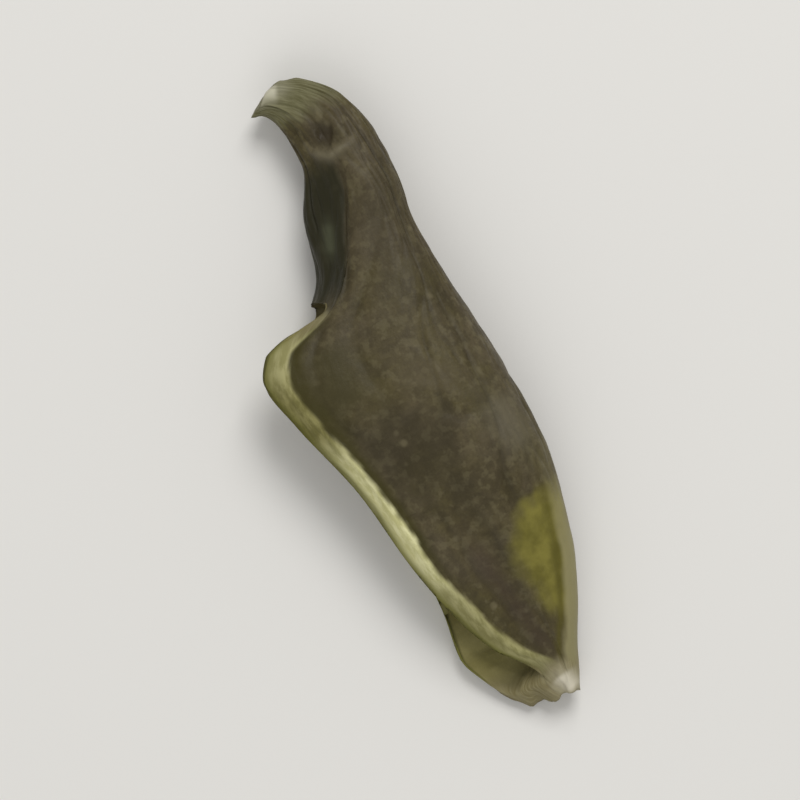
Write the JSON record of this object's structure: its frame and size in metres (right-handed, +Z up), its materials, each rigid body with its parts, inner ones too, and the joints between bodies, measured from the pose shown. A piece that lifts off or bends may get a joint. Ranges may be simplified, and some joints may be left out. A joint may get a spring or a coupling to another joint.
{
  "type": "dehydrated green bean",
  "caption": "Dried, hollow end of a green bean pod with its stem stub and narrow neck, cut open on the bias, lying flat.",
  "frame": {"origin": "under the middle of the piece's box, on the surface that it rests on", "axes": "+X from the stem end to the pointed cut end, the open cut side faces -Y, +Z up, towards the side that the picture shows"},
  "size_m": [0.0178, 0.006, 0.0028],
  "materials": {
    "dried_pod": "dried pod skin, olive brown, finely wrinkled and faintly waxy, with pale yellow cut edges and a matt pale inside"
  },
  "bodies": {
    "root": {"pod_piece": "dried_pod"}
  },
  "joints": []
}
